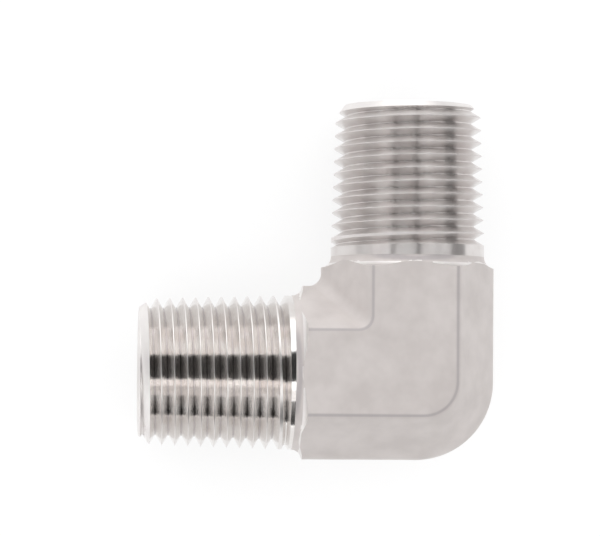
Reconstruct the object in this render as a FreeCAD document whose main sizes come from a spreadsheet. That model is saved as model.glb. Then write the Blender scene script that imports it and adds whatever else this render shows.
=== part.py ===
# Male pipe elbow, 90 degrees: two tapered 1/2-14 pipe threads on one forged and turned steel body.
#
# Frame, in millimetres: the elbow lies on its back wrench flat, z = 0, with +Z up out of the
# front flat. The origin is on the back flat, where the two port axes cross above it.
# The rise port points along +Y and the run port along -X.
#
# The features are drawn about the crossing of the port axes, with the rise port along the
# body's own +Z, the run port along its -X and the front flat towards its -Y. The body's
# placement then lays it on its back flat.
import FreeCAD
import Part
import math
import os
import Sketcher

doc = FreeCAD.newDocument("pipe_elbow")

# Driving dimensions: millimetres, and degrees where the note says so.
sizes = {
    "across_flats": 22.2,        # front wrench flat to back wrench flat
    "body_width": 24.4,          # of each leg, at the parting line
    "flat_width": 12.2,          # of the wrench flats, between their sharp edges
    "land_width": 2.4,           # trimmed land along the parting line
    "land_radius": 2.6,          # rounding between land and bevel
    "flat_edge_radius": 1.0,     # rounding between wrench flat and bevel
    "corner_radius": 11.0,       # outer corner, seen from the front
    "crotch_radius": 1.8,        # inner corner
    "shoulder": 14.8,            # from the crossing of the axes to the turned shoulder
    "flare_radius": 1.6,         # turned fillet between shoulder and collar
    "collar_length": 1.4,        # plain, between fillet and thread
    "centre_to_end": 37.8,       # from the crossing of the axes to each port's end
    "bore_diameter": 13.5,
    "bore_past_centre": 3.0,     # full bore beyond the crossing, before the drill's cone
    "drill_half_angle": 59.0,    # degrees
    "mouth_chamfer": 0.5,        # at each bore's mouth
    "thread_diameter": 20.4,     # over the crests, produced to the port's end
    "thread_taper": 16.0,        # one in sixteen, on the diameter
    "thread_pitch": 1.8143,      # fourteen threads to the inch
    "thread_depth": 1.36,
    "thread_turns": 11.0,        # at full depth, before the turn that fades out
    "flank_angle": 30.0,         # degrees, each side of the groove
    "root_width": 0.14,
    "groove_overshoot": 0.05,    # how far the groove's outline stands outside the crests
    "rise_groove": 38.92,        # first groove of the rise port, on the side away from the run
    "run_groove": 38.12,         # first groove of the run port, on the side of the rise
    "nose_step": 1.2,            # from the crests in to the rim of each port's flat end
    "nose_length": 1.7,          # of the cone that leads onto the thread
}

sheet = doc.addObject("Spreadsheet::Sheet", "Sizes")
for row, (name, value) in enumerate(sizes.items(), start=1):
    sheet.set(f"A{row}", name)
    sheet.set(f"B{row}", str(value))
    sheet.setAlias(f"B{row}", name)
doc.recompute()

body = doc.addObject("PartDesign::Body", "elbow_body")
body.Label = "elbow_body"

# Lengths that several features share, as expressions of the sheet's cells.
half_width = "Sizes.body_width / 2"
half_flat = "Sizes.flat_width / 2"
half_depth = "Sizes.across_flats / 2"
half_land = "Sizes.land_width / 2"
corner_centre = "(Sizes.body_width / 2 - Sizes.corner_radius)"
forging_end = "(Sizes.shoulder + Sizes.flare_radius)"
thread_start = f"({forging_end} + Sizes.collar_length)"
taper = "(1 / (2 * Sizes.thread_taper))"
collar_radius = f"(Sizes.thread_diameter / 2 + (Sizes.centre_to_end - {thread_start}) * {taper})"
stock_radius = "(Sizes.across_flats / 2 + Sizes.body_width / 2)"
nose_radius = "(Sizes.thread_diameter / 2 - Sizes.nose_step)"
bore_radius = "(Sizes.bore_diameter / 2)"

# Millimetres from the origin to the sketches' first guesses, before their constraints are solved.
guess_reach = 10


def origin_part(role):
    """One of the body's own planes or axes."""
    return next(part for part in body.Origin.OriginFeatures if part.Role == role)


def new_sketch(name, plane):
    sketch = body.newObject("Sketcher::SketchObject", name)
    sketch.AttachmentSupport = [(origin_part(plane), "")]
    sketch.MapMode = "FlatFace"
    return sketch


def place_point(sketch, item, end, across, up):
    """Holds a point of the sketch at two expressions, measured from its origin."""
    for kind, text, axis in (("DistanceX", across, -2), ("DistanceY", up, -1)):
        if text == "0":
            sketch.addConstraint(Sketcher.Constraint("PointOnObject", item, end, axis))
        else:
            index = sketch.addConstraint(Sketcher.Constraint(kind, -1, 1, item, end, 1.0))
            sketch.setExpression(f"Constraints[{index}]", text)


def draw_outline(sketch, points):
    """A closed outline of straight lines through points given as pairs of expressions."""
    count = len(points)
    first_guess = []
    for k in range(count):
        turn = 2 * math.pi * k / count
        first_guess.append(FreeCAD.Vector(math.cos(turn), math.sin(turn), 0) * guess_reach)
    for k in range(count):
        sketch.addGeometry(Part.LineSegment(first_guess[k], first_guess[(k + 1) % count]))
    for k, (across, up) in enumerate(points):
        sketch.addConstraint(Sketcher.Constraint("Coincident", k, 2, (k + 1) % count, 1))
        place_point(sketch, k, 1, across, up)


def round_edges(name, base, wanted, radius):
    """Fillets the edges of the last feature that pass the test."""
    edges = [f"Edge{k}" for k, edge in enumerate(base.Shape.Edges, start=1) if wanted(edge)]
    fillet = body.newObject("PartDesign::Fillet", name)
    fillet.Base = (base, edges)
    fillet.setExpression("Radius", radius)
    doc.recompute()
    return fillet


# The forging: one section for both legs, with a wrench flat front and back, and bevels that
# run out to the land where the two halves of the die met.
leg_section = [
    (f"-{half_flat}", f"-{half_depth}"), (half_flat, f"-{half_depth}"),
    (half_width, f"-{half_land}"), (half_width, half_land),
    (half_flat, half_depth), (f"-{half_flat}", half_depth),
    (f"-{half_width}", half_land), (f"-{half_width}", f"-{half_land}"),
]

rise_section = new_sketch("rise_section", "XY_Plane")
rise_section.setExpression("AttachmentOffset.Base.z", f"-{corner_centre}")
draw_outline(rise_section, leg_section)
rise_leg = body.newObject("PartDesign::Pad", "rise_leg")
rise_leg.Profile = rise_section
rise_leg.setExpression("Length", f"{forging_end} + {corner_centre}")

run_section = new_sketch("run_section", "YZ_Plane")
run_section.setExpression("AttachmentOffset.Base.z", corner_centre)
draw_outline(run_section, [(depth, across) for across, depth in leg_section])
run_leg = body.newObject("PartDesign::Pad", "run_leg")
run_leg.Profile = run_section
run_leg.Reversed = True
run_leg.setExpression("Length", f"{forging_end} + {corner_centre}")

# The outer corner is half of that section, turned a quarter about the corner's own centre.
corner_section = new_sketch("corner_section", "XY_Plane")
corner_section.setExpression("AttachmentOffset.Base.x", corner_centre)
corner_section.setExpression("AttachmentOffset.Base.z", f"-{corner_centre}")
flat_from_corner = f"{half_flat} - {corner_centre}"
draw_outline(corner_section, [
    ("0", f"-{half_depth}"), (flat_from_corner, f"-{half_depth}"),
    ("Sizes.corner_radius", f"-{half_land}"), ("Sizes.corner_radius", half_land),
    (flat_from_corner, half_depth), ("0", half_depth),
])
corner = body.newObject("PartDesign::Revolution", "outer_corner")
corner.Profile = corner_section
corner.ReferenceAxis = (corner_section, ["V_Axis"])
corner.Angle = 90
doc.recompute()


def at_level(edge, level):
    """Whether an edge runs along the legs at this distance in front of or behind their axes."""
    box = edge.BoundBox
    at_port = box.XMax < -sheet.shoulder or box.ZMin > sheet.shoulder
    off_level = abs(max(abs(box.YMin), abs(box.YMax)) - level)
    return box.YLength < 1e-6 and off_level < 1e-6 and not at_port


def is_land(edge):
    return at_level(edge, sheet.land_width / 2)


def is_flat_outline(edge):
    return at_level(edge, sheet.across_flats / 2)


def is_crotch(edge):
    """The valley where the inner sides of the two legs meet."""
    return all(abs(point.X + point.Z) < 1e-6 and point.X < 0 for point in edge.Vertexes)


land_edges = round_edges("land_edges", corner, is_land, "Sizes.land_radius")
crotch = round_edges("crotch", land_edges, is_crotch, "Sizes.crotch_radius")
flat_edges = round_edges("flat_edges", crotch, is_flat_outline, "Sizes.flat_edge_radius")


# Each port is drawn in the plane of both axes, as pairs of the distance out from its own axis
# and the distance from the crossing of the axes. The run port lies along the sketch's -X.
def port_points(port, points):
    if port == "rise":
        return points
    return [("0" if along == "0" else f"-({along})", across) for across, along in points]


def port_axis(port):
    return (origin_part("Z_Axis" if port == "rise" else "X_Axis"), [""])


def turn_outline(kind, name, port, points):
    """Turns an outline about the port's axis, to add it or to cut it away."""
    sketch = new_sketch(f"{name}_outline", "XZ_Plane")
    draw_outline(sketch, port_points(port, points))
    feature = body.newObject(kind, name)
    feature.Profile = sketch
    feature.ReferenceAxis = port_axis(port)
    feature.Angle = 360
    doc.recompute()


def turn_flare(port):
    """The round-nosed tool's ring between collar and shoulder."""
    sketch = new_sketch(f"{port}_flare_outline", "XZ_Plane")
    first_centre = FreeCAD.Vector(guess_reach, guess_reach, 0)
    sketch.addGeometry(Part.Circle(first_centre, FreeCAD.Vector(0, 0, 1), 1))
    centre = (f"{collar_radius} + Sizes.flare_radius", forging_end)
    place_point(sketch, 0, 3, *port_points(port, [centre])[0])
    index = sketch.addConstraint(Sketcher.Constraint("Radius", 0, 1.0))
    sketch.setExpression(f"Constraints[{index}]", "Sizes.flare_radius")
    feature = body.newObject("PartDesign::Groove", f"{port}_flare")
    feature.Profile = sketch
    feature.ReferenceAxis = port_axis(port)
    feature.Angle = 360
    doc.recompute()


def face_shoulder(port):
    """Faces off what stands out past the shoulder, outside the flare."""
    flare_outside = f"{collar_radius} + Sizes.flare_radius"
    clear_end = f"{forging_end} + Sizes.flare_radius"
    turn_outline("PartDesign::Groove", f"{port}_shoulder", port, [
        (flare_outside, clear_end), (flare_outside, "Sizes.shoulder"),
        (stock_radius, "Sizes.shoulder"), (stock_radius, clear_end),
    ])


def turn_blank(port):
    """Collar, thread blank and nose cone, before the thread is cut, from inside the forging."""
    nose_start = "Sizes.centre_to_end - Sizes.nose_length"
    nose_top = f"Sizes.thread_diameter / 2 + Sizes.nose_length * {taper}"
    turn_outline("PartDesign::Revolution", f"{port}_blank", port, [
        ("0", half_flat), (collar_radius, half_flat), (collar_radius, thread_start),
        (nose_top, nose_start), (nose_radius, "Sizes.centre_to_end"),
        ("0", "Sizes.centre_to_end"),
    ])


def drill_bore(port):
    """Drilled from the port's end to past the crossing, with its mouth chamfered."""
    drill_tip = f"-(Sizes.bore_past_centre + {bore_radius} / tan(Sizes.drill_half_angle * 1 deg))"
    outside_mouth = "Sizes.centre_to_end + Sizes.mouth_chamfer"
    turn_outline("PartDesign::Groove", f"{port}_bore", port, [
        ("0", drill_tip), (bore_radius, "-Sizes.bore_past_centre"),
        (bore_radius, "Sizes.centre_to_end - Sizes.mouth_chamfer"),
        (f"{bore_radius} + 2 * Sizes.mouth_chamfer", outside_mouth), ("0", outside_mouth),
    ])


def cut_groove(name, port, first, turns, cone_angle):
    """A right-handed helical groove that runs from its first place in towards the body."""
    crest = f"(Sizes.thread_diameter / 2 + (Sizes.centre_to_end - {first}) * {taper})"
    root = f"({crest} - Sizes.thread_depth)"
    outside = f"({crest} + Sizes.groove_overshoot)"
    half_root = "Sizes.root_width / 2"
    slope = "tan(Sizes.flank_angle * 1 deg)"
    half_mouth = f"({half_root} + (Sizes.thread_depth + Sizes.groove_overshoot) * {slope})"
    sketch = new_sketch(f"{name}_outline", "XZ_Plane")
    draw_outline(sketch, port_points(port, [
        (root, f"{first} - {half_root}"), (root, f"{first} + {half_root}"),
        (outside, f"{first} + {half_mouth}"), (outside, f"{first} - {half_mouth}"),
    ]))
    groove = body.newObject("PartDesign::SubtractiveHelix", name)
    groove.Profile = sketch
    groove.ReferenceAxis = (sketch, ["V_Axis" if port == "rise" else "H_Axis"])
    groove.Mode = "pitch-height-angle"
    groove.setExpression("Pitch", "Sizes.thread_pitch")
    groove.setExpression("Height", f"Sizes.thread_pitch * {turns}")
    groove.setExpression("Angle", cone_angle)
    groove.Reversed = port == "rise"
    groove.LeftHanded = False
    doc.recompute()


for port in ("rise", "run"):
    turn_flare(port)
    face_shoulder(port)
for port in ("rise", "run"):
    turn_blank(port)
for port in ("rise", "run"):
    drill_bore(port)
fade_rise = "(Sizes.thread_depth + 2 * Sizes.groove_overshoot)"
for port in ("rise", "run"):
    first = f"Sizes.{port}_groove"
    last = f"({first} - Sizes.thread_turns * Sizes.thread_pitch)"
    cut_groove(f"{port}_thread", port, first, "Sizes.thread_turns", f"atan({taper})")
    cut_groove(f"{port}_fade", port, last, "1", f"atan({fade_rise} / Sizes.thread_pitch)")

# Laid on the back flat, with the rise port along +Y.
body.Placement = FreeCAD.Placement(
    FreeCAD.Vector(0, 0, 0), FreeCAD.Rotation(FreeCAD.Vector(1, 0, 0), -90))
body.setExpression("Placement.Base.z", half_depth)
doc.recompute()

for item in doc.Objects:
    if {"Invalid", "Error"} & set(item.State):
        raise RuntimeError(f"{item.Name} did not build: {item.State}")
if body.Shape.isNull() or not body.Shape.isValid():
    raise RuntimeError("elbow_body has no valid shape")

os.makedirs("parts", exist_ok=True)
body.Shape.exportStep(f"parts/{body.Label}.step")
print(f"{body.Label}: {body.Shape.Volume / 1000:.2f} cm3, {len(body.Shape.Faces)} faces")
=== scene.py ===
# A forged and turned stainless steel pipe elbow that lies on its back wrench flat, seen from above.
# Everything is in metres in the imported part's own frame: +Z comes out of the front wrench flat, the
# rise port runs along +Y, the run port along -X, and the axes of both ports cross above the origin.
import bmesh
import bpy
import math
import numpy as np
from mathutils import Matrix, Vector


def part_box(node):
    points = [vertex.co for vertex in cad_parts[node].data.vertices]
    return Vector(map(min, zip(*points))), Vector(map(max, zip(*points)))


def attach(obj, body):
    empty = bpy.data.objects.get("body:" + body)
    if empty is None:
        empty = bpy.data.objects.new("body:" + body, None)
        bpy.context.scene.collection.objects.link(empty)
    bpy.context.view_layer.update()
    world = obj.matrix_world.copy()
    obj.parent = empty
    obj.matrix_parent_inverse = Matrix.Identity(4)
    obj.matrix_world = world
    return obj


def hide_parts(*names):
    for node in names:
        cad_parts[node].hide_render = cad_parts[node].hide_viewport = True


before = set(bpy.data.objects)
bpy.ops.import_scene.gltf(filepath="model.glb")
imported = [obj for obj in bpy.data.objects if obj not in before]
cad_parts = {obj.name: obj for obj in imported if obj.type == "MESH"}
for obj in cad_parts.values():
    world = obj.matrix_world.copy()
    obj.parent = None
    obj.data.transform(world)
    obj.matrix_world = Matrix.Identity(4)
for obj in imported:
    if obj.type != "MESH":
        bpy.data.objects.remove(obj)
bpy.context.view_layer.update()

print("frame loaded:", sorted(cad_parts))
millimetre = 0.001
micrometre = 1e-3 * millimetre


def linearColour(code):
    # sRGB hex to the linear red, green, blue and alpha that a socket takes
    shares = [int(code[k:k + 2], 16) / 255 for k in (1, 3, 5)]
    linear = [s / 12.92 if s <= 0.04045 else ((s + 0.055) / 1.055) ** 2.4 for s in shares]
    return (*linear, 1.0)


def addNode(tree, kind, settings=None, **sockets):
    # One node with its settings. Each socket, given by name or as i and its number, gets a colour code
    # or a plain value, or a link from another node's socket or from its first one in use.
    node = tree.nodes.new(kind)
    for name, value in (settings or {}).items():
        setattr(node, name, value)
    for name, value in sockets.items():
        socket = node.inputs[int(name[1:]) if name[1:].isdigit() else name.replace("_", " ")]
        if isinstance(value, bpy.types.Node):
            value = next(output for output in value.outputs if output.enabled)
        if isinstance(value, bpy.types.NodeSocket):
            tree.links.new(value, socket)
        else:
            socket.default_value = linearColour(value) if isinstance(value, str) else value
    return node


def newMaterial(name):
    material = bpy.data.materials.new(name)
    material.use_nodes = True
    material.node_tree.nodes.clear()
    return material, material.node_tree


elbow = {
    "mergeMm": 0.0005,        # corners of the CAD triangles closer than this are one
    "shortestMm": 0.00001,    # edges shorter than this are dissolved
    "sharpDegrees": 28,       # edges that turn more than this stay crisp
    "shoulderMm": 14.8,       # from the crossing of the axes to the turned shoulder
    "filletMm": 1.6,          # radius of the turned fillet beyond the shoulder
    "collarMm": 10.75,        # radius of the turned collar beside the fillet
    "boreMm": 6.75,           # radius of the bores
    "drillPointMm": -8,       # past the crossing, beyond the tip of the drill's point
    "threadMm": 18.0,         # from the crossing to where the crests start
    "crestMm": 10.2,          # radius over the crests at the end
    "taper": 32,              # the crests' radius grows by 1 mm in this many
    "rubbedMm": 0.16,         # how far down the crests are rubbed
    "rootMm": 0.9,            # anything this far below the crests is a root
    "firstRootMm": 0.3,       # from the fillet to where the roots start
    "endMm": 37.8,            # from the crossing to the end face
    "noseMm": 2.0,            # from the end, a little more than the turned nose's length
    "tipMm": 0.9,             # from the end, the part of the nose that the last groove runs into
    # how far a triangle's centre may be off the line where two finishes meet
    "slackMm": 0.02, "shoulderSlackMm": 0.05, "filletSlackMm": 0.06,
    # how much of a face's normal points along the port: at most, and for the nose about
    "crestLean": 0.3, "rootLean": 0.45, "noseLean": 0.62, "noseLeanSlack": 0.16,
}

backCorner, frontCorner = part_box("elbow_body")
axisHeight = (frontCorner.z + backCorner.z) / 2


def mergedCopy(node, name):
    # the CAD node's loose triangles, joined where their corners meet
    mesh = bpy.data.meshes.new(name)
    work = bmesh.new()
    work.from_mesh(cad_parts[node].data)
    bmesh.ops.remove_doubles(work, verts=work.verts, dist=elbow["mergeMm"] * millimetre)
    bmesh.ops.dissolve_degenerate(work, edges=work.edges, dist=elbow["shortestMm"] * millimetre)
    loose = [edge for edge in work.edges if not edge.link_faces]
    bmesh.ops.delete(work, geom=loose, context="EDGES")
    notClosed = sum(not edge.is_manifold for edge in work.edges)
    work.to_mesh(mesh)
    work.free()
    print(name, "has", len(mesh.polygons), "faces and", notClosed, "edges that aren't closed")
    return mesh


def faceVectors(mesh, which):
    # the centres or normals of all faces, one row each
    values = np.empty(len(mesh.polygons) * 3)
    mesh.polygons.foreach_get(which, values)
    return values.reshape(-1, 3)


def portCoordinates(points, port):
    # distance from the crossing along the port's axis, and distance out from that axis, both in mm
    x, y, z = ((points - (0, 0, axisHeight)) / millimetre).T
    if port == "rise":
        return y, np.hypot(x, z)
    return -x, np.hypot(y, z)


# the materials by how the steel was made, in the order in which the mesh gets them
finishNames = {
    "forged": "forgedBlastedStainless",
    "riseThread": "turnedSatinStainless",
    "runThread": "turnedBrightStainless",
    "bore": "drilledStainless",
    "fillet": "formTurnedStainless",
    "riseCrest": "rubbedDullStainless",
    "runCrest": "rubbedStainless",
    # the run's thread roots get a darker colour of their own, which is painted shade
    "runRootPaintedShade": "paintedShadeTurnedStainless",
}
madeBy = list(finishNames)


def howMade(mesh):
    # How each face was made, as a place in madeBy. A face is turned where it lies beyond the shoulder's
    # fillet, which is a quarter circle between collar and shoulder, and drilled inside the bore's radius.
    centres, normals = faceVectors(mesh, "center"), faceVectors(mesh, "normal")
    kind = np.zeros(len(centres), np.int32)
    slack = elbow["slackMm"]
    for port in ("rise", "run"):
        along, out = portCoordinates(centres, port)
        alongShare = np.abs(normals[:, 1 if port == "rise" else 0])
        filletOut = elbow["collarMm"] + elbow["filletMm"]
        filletAlong = elbow["shoulderMm"] + elbow["filletMm"]
        fromEnd = elbow["endMm"] - along
        crest = elbow["crestMm"] + fromEnd / elbow["taper"]
        outside = (along > elbow["shoulderMm"] - elbow["shoulderSlackMm"]) & (out > elbow["boreMm"] + slack)
        offFillet = np.abs(np.hypot(out - filletOut, along - filletAlong) - elbow["filletMm"])
        onFillet = (offFillet < elbow["filletSlackMm"]) & (along < filletAlong + slack)
        kind[outside & (along > filletAlong - slack)] = madeBy.index(port + "Thread")
        if port == "run":
            # the run's deep faces, its thread roots, get the darker colour that is painted shade
            paintedShadeRoots = (out < crest - elbow["rootMm"]) & (along > filletAlong + elbow["firstRootMm"])
            kind[outside & paintedShadeRoots & (alongShare < elbow["rootLean"])] = madeBy.index("runRootPaintedShade")
        rubbed = (out > crest - elbow["rubbedMm"]) & (along > elbow["threadMm"])
        kind[outside & rubbed & (alongShare < elbow["crestLean"])] = madeBy.index(port + "Crest")
        kind[outside & onFillet] = madeBy.index("fillet")
        # the nose's cone and the mouth's chamfer lean between crests and flanks
        leaning = np.abs(alongShare - elbow["noseLean"]) < elbow["noseLeanSlack"]
        onNose = (leaning & (fromEnd < elbow["noseMm"])) | (fromEnd < elbow["tipMm"])
        kind[outside & onNose] = madeBy.index("fillet")
        kind[(out < elbow["boreMm"] + slack) & (along > elbow["drillPointMm"])] = madeBy.index("bore")
    return kind


def sharpEdges(mesh):
    # true for each edge whose two faces turn by more than the sharp angle: the cosine is their normals'
    # dot product, and an edge's faces are the first and last in the corners sorted by edge
    edges, sizes = np.empty(len(mesh.loops), np.int32), np.empty(len(mesh.polygons), np.int32)
    mesh.loops.foreach_get("edge_index", edges)
    mesh.polygons.foreach_get("loop_total", sizes)
    order = np.argsort(edges, kind="stable")
    faces = np.repeat(np.arange(len(sizes)), sizes)[order]
    first = np.searchsorted(edges[order], np.arange(len(mesh.edges)), "left")
    last = np.searchsorted(edges[order], np.arange(len(mesh.edges)), "right") - 1
    normals = faceVectors(mesh, "normal")
    cosine = (normals[faces[first]] * normals[faces[last]]).sum(axis=1)
    return cosine < math.cos(math.radians(elbow["sharpDegrees"]))


def latheAxes(mesh):
    # for each face, the direction in which fine tool rings drag a reflection: its port's axis
    centres = faceVectors(mesh, "center")
    onRun = -centres[:, 0] > centres[:, 1]
    return np.where(onRun[:, None], (1.0, 0.0, 0.0), (0.0, 1.0, 0.0)).astype(np.float32)


steelMesh = mergedCopy("elbow_body", "elbowSteel")
steelMesh.shade_smooth()
sharpEdge = steelMesh.attributes.new("sharp_edge", "BOOLEAN", "EDGE")
sharpEdge.data.foreach_set("value", sharpEdges(steelMesh))
latheAxis = steelMesh.attributes.new("latheAxis", "FLOAT_VECTOR", "FACE")
latheAxis.data.foreach_set("vector", latheAxes(steelMesh).ravel())
steelMesh.polygons.foreach_set("material_index", howMade(steelMesh))
elbowSteel = bpy.data.objects.new("elbowSteel", steelMesh)
bpy.context.scene.collection.objects.link(elbowSteel)
flatFaceNormals = elbowSteel.modifiers.new("flatFaceNormals", "WEIGHTED_NORMAL")
flatFaceNormals.keep_sharp = True
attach(elbowSteel, "root")
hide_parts("elbow_body")
print("elbow ready")

# All of it is one bare stainless steel, whose finishes differ in how they were made, but for two
# colours that are painted shade: the run's thread roots and the forged flats' rounded rims are darker.
# Most colours are lighter than the real metal's, because the dark cards take light off it. "stain" is
# what handling and dried oil turn them to in faint clouds, "drag" is how far fine tool rings stretch a
# reflection, "ringUm" is the height of the coarser rings that show, and "unevenness" is how far the
# roughness strays both ways.
steel = {
    # forged, then blasted with fine grit: an even pale satin that mirrors nothing
    "forged": {"colour": "#e2dddb", "stain": "#ddd8d6", "cloudMm": 4.0, "roughness": 0.8,
               "gritMm": 0.3,             # real grit is nearer 0.1 mm, too fine to show
               "gritHeightMm": 0.004, "unevenness": 0.04,
               # the flats' rounded rims, darker as painted shade: their colour, and the cosines of 3
               # and 14 degrees, where it starts and is full, and of 37 and 26 degrees, where it has
               # ended and is still full
               "rim": "#d0cbcb", "rimFromFlat": (0.9985, 0.97), "rimToBevel": (0.80, 0.90)},
    # turned threads: the tool's fine rings drag each reflection out along the port
    "riseThread": {"colour": "#e3dfdd", "stain": "#d9d3d1", "roughness": 0.32, "drag": 1.0, "ringUm": 0.6},
    "runThread": {"colour": "#e6e3e1", "stain": "#dcd7d4", "roughness": 0.19, "drag": 1.0, "ringUm": 0.6},
    # the run's thread roots, darker than the rest of the thread as painted shade
    "runRootPaintedShade": {"colour": "#b2abaa", "stain": "#a69f9d", "roughness": 0.2, "drag": 1.0, "ringUm": 0.6},
    # thread crests, rubbed dull, the rise's more than the run's
    "riseCrest": {"colour": "#e9e5e4", "stain": "#e1dcda", "roughness": 0.6, "drag": 0.0, "ringUm": 0.6},
    "runCrest": {"colour": "#e7e4e2", "stain": "#dfdad8", "roughness": 0.36, "drag": 0.0, "ringUm": 0.6},
    # fillets and noses, cut with a form tool: duller, with rings that show
    "fillet": {"colour": "#eeebe9", "stain": "#e7e3e2", "roughness": 0.45, "drag": 0.0, "ringUm": 3.0},
    # drilled bore: greyer, with coarse rings
    "bore": {"colour": "#b5b0ae", "stain": "#a49e9d", "roughness": 0.36, "drag": 0.6, "ringUm": 10.0},
    "ringMm": 0.3,            # a real feed mark is nearer 0.1 mm, too fine to show
    "ringUnevenness": 0.03,   # how far the roughness of turned steel strays from ring to ring
    "handledMm": 3.0,         # size of the faint clouds on turned steel
}


def blastedSteel(name, finish):
    # forged and grit-blasted: clouds of two near greys, fine pits, and painted shade on the flats' rounded
    # rims
    material, tree = newMaterial(name)
    where = addNode(tree, "ShaderNodeTexCoord").outputs["Object"]
    clouds = addNode(tree, "ShaderNodeTexNoise", Vector=where, Scale=1 / (finish["cloudMm"] * millimetre),
                     Detail=3.0)
    grit = addNode(tree, "ShaderNodeTexNoise", Vector=where, Scale=1 / (finish["gritMm"] * millimetre),
                   Detail=2.0)
    share = addNode(tree, "ShaderNodeMapRange", Value=clouds, From_Min=0.35, From_Max=0.65)
    colour = addNode(tree, "ShaderNodeMix", {"data_type": "RGBA"}, i0=share, i6=finish["colour"],
                     i7=finish["stain"])
    # painted shade on the rims, where the surface leans between flat and bevel; upright is the cosine of
    # its lean
    normal = addNode(tree, "ShaderNodeNewGeometry").outputs["Normal"]
    towardsZ = addNode(tree, "ShaderNodeSeparateXYZ", Vector=normal).outputs["Z"]
    upright = addNode(tree, "ShaderNodeMath", {"operation": "ABSOLUTE"}, i0=towardsZ)
    offFlat, offBevel = [
        addNode(tree, "ShaderNodeMapRange", Value=upright, From_Min=start, From_Max=full)
        for start, full in (finish["rimFromFlat"], finish["rimToBevel"])]
    rim = addNode(tree, "ShaderNodeMath", {"operation": "MULTIPLY"}, i0=offFlat, i1=offBevel)
    colour = addNode(tree, "ShaderNodeMix", {"data_type": "RGBA"}, i0=rim, i6=colour, i7=finish["rim"])
    uneven = addNode(tree, "ShaderNodeMapRange", Value=clouds, From_Min=0.3, From_Max=0.7,
                     To_Min=finish["roughness"] - finish["unevenness"],
                     To_Max=finish["roughness"] + finish["unevenness"])
    pits = addNode(tree, "ShaderNodeBump", Strength=0.35, Distance=finish["gritHeightMm"] * millimetre,
                   Height=grit)
    shader = addNode(tree, "ShaderNodeBsdfPrincipled", Metallic=1.0, Base_Color=colour, Roughness=uneven,
                     Normal=pits)
    addNode(tree, "ShaderNodeOutputMaterial", Surface=shader)
    return material


def ringedSteel(name, finish):
    # Turned or drilled: tool rings from noise of one number, the distance along the port plus the
    # distance out from its axis, so that cylinders, cones and end faces all get rings round the axis.
    material, tree = newMaterial(name)
    where = addNode(tree, "ShaderNodeTexCoord").outputs["Object"]
    fromCrossing = addNode(tree, "ShaderNodeVectorMath", {"operation": "SUBTRACT"}, i0=where,
                           i1=(0, 0, axisHeight))
    parts = addNode(tree, "ShaderNodeSeparateXYZ", Vector=fromCrossing)
    alongRun = addNode(tree, "ShaderNodeMath", {"operation": "MULTIPLY"}, i0=parts.outputs["X"], i1=-1.0)
    along = addNode(tree, "ShaderNodeMath", {"operation": "MAXIMUM"}, i0=parts.outputs["Y"], i1=alongRun)
    alongSquared = addNode(tree, "ShaderNodeMath", {"operation": "MULTIPLY"}, i0=along, i1=along)
    allSquared = addNode(tree, "ShaderNodeVectorMath", {"operation": "DOT_PRODUCT"}, i0=fromCrossing,
                         i1=fromCrossing)
    outSquared = addNode(tree, "ShaderNodeMath", {"operation": "SUBTRACT"}, i0=allSquared.outputs["Value"],
                         i1=alongSquared)
    out = addNode(tree, "ShaderNodeMath", {"operation": "SQRT"}, i0=outSquared)
    reach = addNode(tree, "ShaderNodeMath", {"operation": "ADD"}, i0=along, i1=out)
    rings = addNode(tree, "ShaderNodeTexNoise", {"noise_dimensions": "1D"}, W=reach,
                    Scale=1 / (steel["ringMm"] * millimetre), Detail=2.0)
    clouds = addNode(tree, "ShaderNodeTexNoise", Vector=where, Scale=1 / (steel["handledMm"] * millimetre),
                     Detail=3.0)
    share = addNode(tree, "ShaderNodeMapRange", Value=clouds, From_Min=0.35, From_Max=0.7)
    colour = addNode(tree, "ShaderNodeMix", {"data_type": "RGBA"}, i0=share, i6=finish["colour"],
                     i7=finish["stain"])
    uneven = addNode(tree, "ShaderNodeMapRange", Value=rings, From_Min=0.3, From_Max=0.7,
                     To_Min=finish["roughness"] - steel["ringUnevenness"],
                     To_Max=finish["roughness"] + steel["ringUnevenness"])
    marks = addNode(tree, "ShaderNodeBump", Strength=0.5, Distance=finish["ringUm"] * micrometre,
                    Height=rings)
    axis = addNode(tree, "ShaderNodeAttribute", {"attribute_name": "latheAxis"}).outputs["Vector"]
    shader = addNode(tree, "ShaderNodeBsdfPrincipled", Metallic=1.0, Base_Color=colour, Roughness=uneven,
                     Anisotropic=finish["drag"], Tangent=axis, Normal=marks)
    addNode(tree, "ShaderNodeOutputMaterial", Surface=shader)
    return material


for made, name in finishNames.items():
    makeSteel = blastedSteel if made == "forged" else ringedSteel
    steelMesh.materials.append(makeSteel(name, steel[made]))
print("materials ready:", len(steelMesh.materials))

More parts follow.
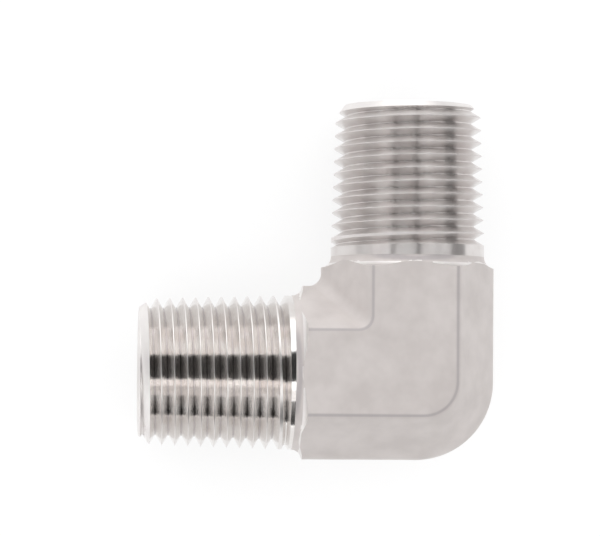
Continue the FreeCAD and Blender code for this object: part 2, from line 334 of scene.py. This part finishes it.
studio = {
    "floorMetres": 6.0,
    "floorDropMm": 0.02,      # keeps the paper just clear of the back flat
    "floorColour": "#f4f4f4",
    "floorGlow": 0.77,        # what camera and mirror rays see on top of the light that falls on it
    "floorShare": 0.18,       # how much of that light they see, which shows the shadow
    "skyLevel": 1.45,         # makes up for some of the light that the dark cards take off the steel
    "aimMm": (-12.0, 12.0, 11.0),     # what the cards hang round
    "cardMetres": {"run": 0.75, "rise": 0.73},      # from the elbow to the cards round each port
    "cardPoints": 9,          # each way in a card's grid
    # Cards and soft boxes, which only mirror rays see, but for the boxes' light on the floor. Each lies
    # round a port: "about" names that port's axis, "round" is how far round the axis it reaches from
    # straight overhead (towards +X, or +Y) and "lean" how far it leans along the axis, both in degrees.
    # Dark ones show steel its shape. A level above 1 is a soft box.
    "cards": {
        "cameraGap": {"about": "run", "round": (-15, 30), "lean": (-68, 68), "level": 0.03},
        "farBox": {"about": "run", "round": (30, 84), "lean": (-62, 62), "level": 1.9},
        "nearStrip": {"about": "run", "round": (-27, -15), "lean": (-62, 62), "level": 2.3},
        "nearCard": {"about": "run", "round": (-86, -44), "lean": (-12, 12), "level": 0.02, "taper": 2.5},
        "leftCard": {"about": "rise", "round": (-110, -80), "lean": (-30, 65), "level": 0.7},
        "leftShade": {"about": "rise", "round": (-80, -62), "lean": (-30, 65), "level": 0.75},
        "leftLine": {"about": "rise", "round": (-31, -26), "lean": (-50, 65), "level": 0.03},
        "rightLine": {"about": "rise", "round": (10, 16), "lean": (-50, 65), "level": 0.03},
        "rightShade": {"about": "rise", "round": (44, 64), "lean": (-30, 65), "level": 0.73},
        "rightCard": {"about": "rise", "round": (64, 102), "lean": (-30, 65), "level": 0.26},
    },
}


def stageObject(name, points, faces, material):
    mesh = bpy.data.meshes.new(name)
    mesh.from_pydata(points, [], faces)
    mesh.materials.append(material)
    thing = bpy.data.objects.new(name, mesh)
    bpy.context.scene.collection.objects.link(thing)
    return thing


def stageFloor():
    # White paper. Camera and mirror rays see mostly its own glow, white apart from the shadow, and so
    # does the elbow, which is all metal. Only diffuse rays see it as the studio lights it.
    half, drop = studio["floorMetres"] / 2, studio["floorDropMm"] * millimetre
    paper, tree = newMaterial("whitePaper")
    path = addNode(tree, "ShaderNodeLightPath")
    seen = addNode(tree, "ShaderNodeMath", {"operation": "MAXIMUM"}, i0=path.outputs["Is Camera Ray"],
                   i1=path.outputs["Is Glossy Ray"])
    lit = addNode(tree, "ShaderNodeBsdfDiffuse", Color=studio["floorColour"])
    dim = addNode(tree, "ShaderNodeBsdfDiffuse", Color=(studio["floorShare"],) * 3 + (1,))
    glow = addNode(tree, "ShaderNodeEmission", Strength=studio["floorGlow"])
    both = addNode(tree, "ShaderNodeAddShader", i0=dim, i1=glow)
    mixed = addNode(tree, "ShaderNodeMixShader", i0=seen, i1=lit, i2=both)
    addNode(tree, "ShaderNodeOutputMaterial", Surface=mixed)
    corners = [(-half, -half, -drop), (half, -half, -drop), (half, half, -drop), (-half, half, -drop)]
    stageObject("floor", corners, [(0, 1, 2, 3)], paper)


def stageCard(name, about, level, taper=1.0, **reach):
    # A curved card: a grid of directions, turned about the port's axis and leaned along it, all the
    # same distance from the elbow. Taper is how many times wider it leans at the start of its turn.
    count = studio["cardPoints"]
    steps = [np.radians(np.linspace(*reach[way], count)) for way in ("round", "lean")]
    turn, lean = np.meshgrid(*steps)
    lean = lean * np.linspace(taper, 1.0, count)
    across, along, up = np.sin(turn) * np.cos(lean), np.sin(lean), np.cos(turn) * np.cos(lean)
    direction = np.stack((across, along, up) if about == "rise" else (along, across, up), axis=-1)
    points = np.array(studio["aimMm"]) * millimetre + direction * studio["cardMetres"][about]
    corner = np.arange(count * count).reshape(count, count)
    faces = np.stack((corner[:-1, :-1], corner[:-1, 1:], corner[1:, 1:], corner[1:, :-1]), axis=-1)
    material, tree = newMaterial(name)
    light = addNode(tree, "ShaderNodeEmission", Strength=level)
    addNode(tree, "ShaderNodeOutputMaterial", Surface=light)
    card = stageObject(name, points.reshape(-1, 3).tolist(), faces.reshape(-1, 4).tolist(), material)
    card.visible_camera = False
    card.visible_diffuse = level > 1
    card.visible_shadow = False


stageFloor()
for name, card in studio["cards"].items():
    stageCard(name, **card)
world = bpy.data.worlds.new("whiteStudio")
bpy.context.scene.world = world
world.use_nodes = True
world.node_tree.nodes.clear()
sky = addNode(world.node_tree, "ShaderNodeBackground", Color=(1, 1, 1, 1), Strength=studio["skyLevel"])
addNode(world.node_tree, "ShaderNodeOutputWorld", Surface=sky)
print("studio ready:", len(studio["cards"]), "cards")

camera = {
    "aimMm": (-15.2, 14.72, 11.1),
    "distanceMm": 450.0,
    "leftDegrees": 4.35,      # from the front flat's normal towards the run port
    "downDegrees": 2.2,       # and away from the rise port
    "rollDegrees": 0.4,
    "lensMm": 191.6,
    "sensorMm": 36,
    "clipMetres": (0.01, 20),
}


def placeCamera():
    # looks back along a line that leans from +Z by the two angles, then rolls about it
    leans = [math.tan(math.radians(camera[way])) for way in ("leftDegrees", "downDegrees")]
    back = Vector((-leans[0], -leans[1], 1)).normalized()
    right = Vector((0, 1, 0)).cross(back).normalized()
    roll = Matrix.Rotation(math.radians(camera["rollDegrees"]), 3, back)
    basis = Matrix((roll @ right, roll @ back.cross(right), back)).transposed().to_4x4()
    lens = bpy.data.cameras.new("camera")
    lens.lens = camera["lensMm"]
    lens.sensor_width = camera["sensorMm"]
    lens.clip_start, lens.clip_end = camera["clipMetres"]
    view = bpy.data.objects.new("camera", lens)
    bpy.context.scene.collection.objects.link(view)
    place = Vector(camera["aimMm"]) * millimetre + back * camera["distanceMm"] * millimetre
    view.matrix_world = Matrix.Translation(place) @ basis
    bpy.context.scene.camera = view


placeCamera()
bpy.context.scene.view_settings.view_transform = "Standard"
bpy.context.view_layer.update()
